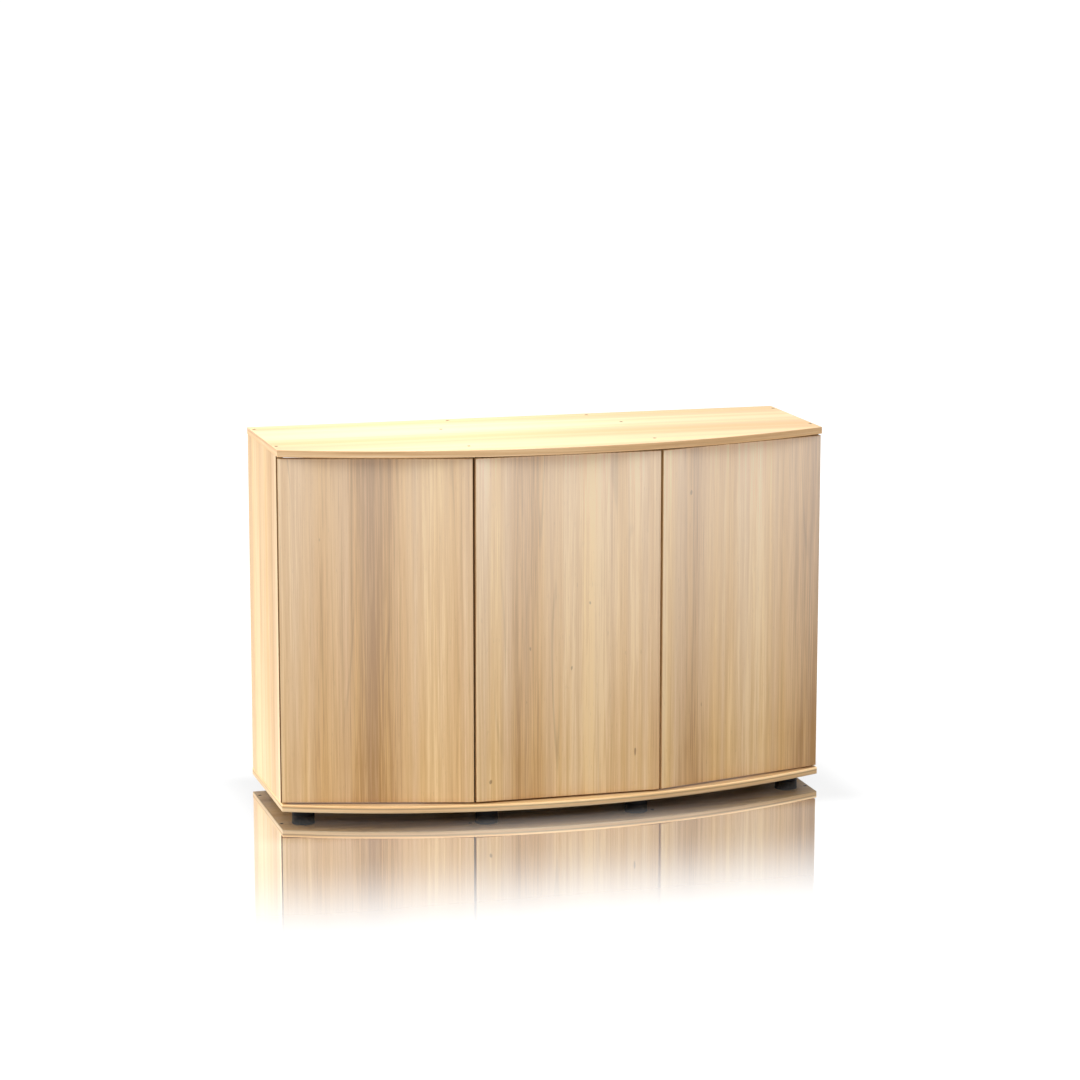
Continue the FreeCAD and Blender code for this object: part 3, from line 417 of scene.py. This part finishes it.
def screw(head_radius, head_tall, shank_radius, length, drive, pitch=THREAD_PITCH, plain=0.0):
    """A screw whose head ends at height 0 and whose shank runs down; drive is (recess, size, depth).

    The head's top sinks, in the drive's outline, by the drive's depth, with sloping walls; the shank
    below its plain part rises and falls once a pitch along a helix; the tip is a cone."""
    recess, drive_size, drive_depth = drive
    face = np.linspace(0.0, 1.0, FACE_RINGS)[:, None] * head_radius * 0.96 * np.ones(SECTORS)
    sunk = recess(face * np.cos(ANGLES), face * np.sin(ANGLES), drive_size, head_radius)
    threaded = length - plain - 1.5 * shank_radius
    steps = np.linspace(0.0, 1.0, max(8, int(ROWS_A_PITCH * threaded / pitch)))[:, None]
    helix = (steps * threaded / pitch + ANGLES / (2 * math.pi)) % 1.0
    radii = [face,
             rings(head_radius, head_radius, 0.98 * head_radius),
             rings(0.94 * shank_radius, 0.94 * shank_radius),
             shank_radius * (1.0 - THREAD_DEPTH * abs(2 * helix - 1)),
             rings(0.5 * shank_radius, 0.0)]
    depths = [drive_depth * sunk + EDGE_ROUND / 4,
              rings(EDGE_ROUND, head_tall - EDGE_ROUND / 2, head_tall),
              rings(head_tall, head_tall + plain),
              (head_tall + plain + steps * threaded) * np.ones(SECTORS),
              rings(head_tall + length - 0.6 * shank_radius, head_tall + length)]
    return turned(np.vstack(radii), -np.vstack(depths))


def pin(radius, length):
    """A plain pin standing on height 0, its arrises broken by a tenth of its radius."""
    nick = 0.1 * radius
    out = rings(0.0, 0.9, 1.0, 1.0, 0.9, 0.0) * radius
    return turned(out, rings(length, length, length - nick, nick, 0.0, 0.0))


# ---------------------------------------------------------------- screws and pins: places

# axes of a shape whose height is turned to face each way
FACING = {
    "+x": np.array([[0, 0, 1], [1, 0, 0], [0, 1, 0]], float),
    "-x": np.array([[0, 0, -1], [-1, 0, 0], [0, 1, 0]], float),
    "+y": np.array([[0, 1, 0], [0, 0, 1], [1, 0, 0]], float),
    "+z": np.array([[1, 0, 0], [0, 1, 0], [0, 0, 1]], float),
    "-z": np.array([[1, 0, 0], [0, -1, 0], [0, 0, -1]], float),
}


def placed(shape, spot, facing, seat=None):
    """A shape turned to face one way and moved to a spot, then moved into a seat, (corner, axes)."""
    points, quads = shape
    points = points @ FACING[facing].T + np.array(spot)
    if seat:
        corner, axes = seat
        points = points @ axes.T + np.array(corner)
    return points, quads


def seat_axes(turn, mirrored=False):
    """Axes of a seat turned about Z; a mirrored one is turned over end for end."""
    across = np.array([math.cos(turn), math.sin(turn), 0.0])
    inward = np.array([-math.sin(turn), math.cos(turn), 0.0])
    up = np.array([0.0, 0.0, 1.0])
    return np.stack([-across, inward, -up] if mirrored else [across, inward, up], axis=1)


def make_piece(name, shapes, body, node):
    """One mesh of several shapes, riding on a body in a CAD node's stead and in its finish."""
    counts = np.cumsum([0] + [len(points) for points, _ in shapes])
    mesh = bpy.data.meshes.new(name)
    mesh.from_pydata(np.vstack([points for points, _ in shapes]).tolist(), [],
                     np.vstack([quads + count for (_, quads), count in zip(shapes, counts)]).tolist())
    mesh.validate()
    mesh.update()
    piece = bpy.data.objects.new(name, mesh)
    bpy.context.scene.collection.objects.link(piece)
    mesh.materials.append(FINISHES[slot_of[node]])
    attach(piece, body)
    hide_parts(node)


TOP_UP = 0.8             # face of the top board
UNDERSIDE_UP = 0.02      # underside of the bottom board
MIDDLE_UP = 0.41         # halfway up a door
HINGES = (-0.27, 0.27)   # hinges, from halfway up

# spots on the right half, each with its twin on the left
PANEL_SCREW_SPOTS = ((0.5965, -0.052), (0.5965, 0.193), (0.20475, -0.157), (0.20475, 0.088), (0.16, 0.208))
FOOT_SPOTS = ((0.5495, -0.056), (0.168, -0.155), (0.5495, 0.186), (0.168, 0.186))
FOOT_SCREW_UP = 0.009
CUP_SCREW_SPOT = (0.0215, 0.0174)
PLATE_SCREW_SPOT = (0.0036, 0.037)
CLAMP_SCREW_SPOT = (0.0156, 0.05)
ARM_PIN_SPOT = {"left": (0.02, -0.013), "middle": (0.025, -0.011), "right": (0.02, -0.013)}
ARM_PIN_LENGTH = 0.016
LATCH_HEADS = ((-0.23025, "-x"), (0.17925, "-x"), (0.23025, "+x"))
LATCH_SCREW_BACK = -0.158
LATCH_UP = 0.735
DOOR_SEAT = {
    "left": ((-0.604, -0.0995, MIDDLE_UP), seat_axes(DOOR_TURN["left"])),
    "middle": ((-0.204, -0.208, MIDDLE_UP), seat_axes(0.0)),
    "right": ((0.604, -0.0995, MIDDLE_UP), seat_axes(DOOR_TURN["right"], True)),
}
UPRIGHT_SEAT = {
    "left": ((-0.589, -0.084, MIDDLE_UP), seat_axes(0.0)),
    "middle": ((-0.19725, -0.189, MIDDLE_UP), seat_axes(0.0)),
    "right": ((0.589, -0.084, MIDDLE_UP), seat_axes(0.0, True)),
}

panel_screw = screw(0.00425, 0.003, 0.0025, 0.047, (hex_recess, 0.002, 0.002), 0.0026, 0.012)
foot_screw = screw(0.0045, 0.003, 0.002, 0.02, (cross_recess, 0.0028, 0.0018))
cup_screw = screw(0.0034, 0.0014, 0.00175, 0.011, (cross_recess, 0.0023, 0.0009))
plate_screw = screw(0.004, 0.0016, 0.0025, 0.013, (cross_recess, 0.0026, 0.001))
clamp_screw = screw(0.0032, 0.0016, 0.0018, 0.012, (cross_recess, 0.0022, 0.001))
latch_screw = screw(0.0032, 0.002, 0.00175, 0.026, (cross_recess, 0.0022, 0.0012))
arm_pin = pin(0.0012, ARM_PIN_LENGTH)

panel_spots = [(half * x, y) for half in (-1, 1) for x, y in PANEL_SCREW_SPOTS]
foot_spots = [(half * x, y) for half in (-1, 1) for x, y in FOOT_SPOTS]
for name, fixing, spots, level, facing, node in (
        ("top_panel_screws", panel_screw, panel_spots, TOP_UP, "+z", "top_screws"),
        ("bottom_panel_screws", panel_screw, panel_spots, UNDERSIDE_UP, "-z", "bottom_screws"),
        ("foot_fixing_screws", foot_screw, foot_spots, FOOT_SCREW_UP, "-z", "foot_screws")):
    make_piece(name, [placed(fixing, (*spot, level), facing) for spot in spots], "cabinet", node)

for side in DOORS:
    shapes = [placed(cup_screw, (*CUP_SCREW_SPOT, level + apart), "+y", DOOR_SEAT[side])
              for level in HINGES for apart in (-0.024, 0.024)]
    make_piece("cup_fixing_screws_" + side, shapes, "door_" + side, "cup_screws_" + side)
    seat = UPRIGHT_SEAT[side]
    shapes = [placed(plate_screw, (*PLATE_SCREW_SPOT, level + apart), "+x", seat)
              for level in HINGES for apart in (-0.016, 0.016)]
    shapes += [placed(clamp_screw, (*CLAMP_SCREW_SPOT, level), "+x", seat) for level in HINGES]
    shapes += [placed(arm_pin, (*ARM_PIN_SPOT[side], level - ARM_PIN_LENGTH / 2), "+z", seat)
               for level in HINGES]
    make_piece("plate_screws_and_pins_" + side, shapes, "cabinet", "hinge_screws_and_arm_pins_" + side)

shapes = [placed(latch_screw, (x, LATCH_SCREW_BACK, LATCH_UP + apart), facing)
          for x, facing in LATCH_HEADS for apart in (-0.009, 0.009)]
make_piece("latch_fixing_screws", shapes, "cabinet", "latch_screws")


# ---------------------------------------------------------------- studio

FLOOR_REACH = 60.0
STAND_HALF_WIDE = 0.605
STAND_FRONT = -0.2
STAND_REAR = 0.23
POLISH = (0.2, 0.92, 0.84, 0.0)   # from and to this far from the stand, this share and that share
FLOOR_GREY = (0.18, 0.18, 0.18, 1)
FLOOR_GLOW = (0.4, 0.9)           # on the stand, and where it is seen
PAINTED_SHADOW_REACH = 0.12                  # how far from the stand the glow is full; its fade nearer in is painted shadow


def studio_floor():
    """A wide pale floor, polished in front of and around the stand."""
    corners = [(-FLOOR_REACH, -FLOOR_REACH, 0), (FLOOR_REACH, -FLOOR_REACH, 0),
               (FLOOR_REACH, FLOOR_REACH, 0), (-FLOOR_REACH, FLOOR_REACH, 0)]
    mesh = bpy.data.meshes.new("studio_floor")
    mesh.from_pydata(corners, [], [(0, 1, 2, 3)])
    floor = bpy.data.objects.new("studio_floor", mesh)
    bpy.context.scene.collection.objects.link(floor)

    # how far each spot of the floor lies from the stand's own outline
    finish = Finish("pale_floor")
    spot = finish.split(finish.place)
    past_side = finish.sum("SUBTRACT", finish.sum("ABSOLUTE", spot["X"]), STAND_HALF_WIDE)
    beside = finish.sum("MAXIMUM", past_side, 0.0)
    ahead = finish.sum("MAXIMUM", finish.sum("SUBTRACT", STAND_FRONT, spot["Y"]), 0.0)
    behind = finish.sum("MAXIMUM", finish.sum("SUBTRACT", spot["Y"], STAND_REAR), 0.0)
    squares = [finish.sum("POWER", gap, 2.0) for gap in (beside, finish.sum("ADD", ahead, behind))]
    away = finish.sum("SQRT", finish.sum("ADD", *squares))

    # a matt floor that glows a little, more where it is seen, and not at all under the stand; the glow's
    # fade towards the stand is a painted contact shadow
    seen = finish.add("ShaderNodeLightPath").outputs["Is Camera Ray"]
    strength = finish.remap(seen, 0.0, 1.0, *FLOOR_GLOW, smooth=False)
    glow_with_painted_shadow = finish.sum("MULTIPLY", finish.remap(away, 0.0, PAINTED_SHADOW_REACH), strength)
    matt = finish.add("ShaderNodeBsdfDiffuse", inputs={"Color": FLOOR_GREY})
    glow = finish.add("ShaderNodeEmission", inputs={"Color": WHITE, "Strength": glow_with_painted_shadow})
    plain = finish.add("ShaderNodeAddShader", inputs={0: matt.outputs[0], 1: glow.outputs[0]})
    gloss = finish.add("ShaderNodeBsdfGlossy", inputs={"Color": WHITE, "Roughness": 0.02})
    share = finish.remap(away, *POLISH)
    mixed = finish.add("ShaderNodeMixShader", None, {0: share, 1: plain.outputs[0], 2: gloss.outputs[0]})
    finish.tree.links.new(mixed.outputs[0], finish.tree.nodes["Material Output"].inputs["Surface"])
    finish.tree.nodes.remove(finish.shader)
    floor.data.materials.append(finish.material)


# light of the dome: (direction, narrowness, strength), and an even share from all round
DOME_LOBES = (((0.2, -0.8, 1.3), 9.0, 3.0), ((0, 0, 1), 4.0, 0.7), ((-1.0, 0.25, 0.5), 5.0, 4.8))
AMBIENT = 0.08
BACKDROP = 1.05          # white seen directly and in polished surfaces


def studio_dome():
    """Soft white light from all round: each lobe adds its strength times the cosine of the angle to
    its direction, raised to its narrowness."""
    world = bpy.data.worlds.new("studio_dome")
    bpy.context.scene.world = world
    world.use_nodes = True
    tree = world.node_tree
    tree.nodes.clear()
    ray = shader_node(tree, "ShaderNodeTexCoord").outputs["Generated"]
    total = AMBIENT
    for direction, narrowness, strength in DOME_LOBES:
        length = math.sqrt(sum(value * value for value in direction))
        unit = tuple(value / length for value in direction)
        dot = shader_node(tree, "ShaderNodeVectorMath", {"operation": "DOT_PRODUCT"}, {0: ray, 1: unit})
        cosine = arithmetic(tree, "MAXIMUM", dot.outputs["Value"], 0.0)
        lobe = arithmetic(tree, "MULTIPLY", arithmetic(tree, "POWER", cosine, narrowness), strength)
        total = arithmetic(tree, "ADD", lobe, total)
    light = shader_node(tree, "ShaderNodeBackground", inputs={"Color": WHITE, "Strength": total})
    seen = shader_node(tree, "ShaderNodeBackground", inputs={"Color": WHITE, "Strength": BACKDROP})

    # the plain backdrop is for the eye and for mirrors, not for light that a matt surface gathers
    path = shader_node(tree, "ShaderNodeLightPath").outputs
    first = arithmetic(tree, "LESS_THAN", path["Diffuse Depth"], 0.5)
    shiny = arithmetic(tree, "MULTIPLY", path["Is Glossy Ray"], first)
    plain = arithmetic(tree, "MAXIMUM", path["Is Camera Ray"], shiny)
    mixed = shader_node(tree, "ShaderNodeMixShader", None,
                        {0: plain, 1: light.outputs[0], 2: seen.outputs[0]})
    shader_node(tree, "ShaderNodeOutputWorld", None, {"Surface": mixed.outputs[0]})


LAMP_PLACE = (-0.28, 0.08, 1.42)
LAMP_AIM = (-0.28, 0.08, 0.8)
LAMP_SIZE = 0.45
LAMP_POWER = 3.7


def studio_lamp():
    """A soft square lamp above the top, left of its middle, so the light falls off to the right."""
    lamp = bpy.data.lights.new("studio_lamp", "AREA")
    lamp.shape = "SQUARE"
    lamp.size = LAMP_SIZE
    lamp.energy = LAMP_POWER
    holder = bpy.data.objects.new("studio_lamp", lamp)
    bpy.context.scene.collection.objects.link(holder)
    holder.location = LAMP_PLACE
    aim = Vector(LAMP_AIM) - Vector(LAMP_PLACE)
    holder.rotation_euler = aim.to_track_quat("-Z", "Y").to_euler()
    holder.visible_camera = False
    holder.visible_glossy = False


LENS = 112.51            # millimetres, on a sensor 36 wide
CAMERA_PLACE = (-1.9515, -6.96, 1.901)
CAMERA_DIP = 10.507      # degrees below level
CAMERA_TURN = -15.62     # degrees about Z, from facing +Y


def studio_camera():
    """A long lens from the left, a little above the stand."""
    lens = bpy.data.cameras.new("studio_camera")
    lens.sensor_width = 36.0
    lens.lens = LENS
    lens.clip_end = 200.0
    camera = bpy.data.objects.new("studio_camera", lens)
    bpy.context.scene.collection.objects.link(camera)
    camera.location = CAMERA_PLACE
    camera.rotation_euler = (math.radians(90.0 - CAMERA_DIP), 0.0, math.radians(CAMERA_TURN))
    bpy.context.scene.camera = camera


studio_floor()
studio_dome()
studio_lamp()
studio_camera()
bpy.context.scene.view_settings.view_transform = "Standard"

bpy.context.view_layer.update()
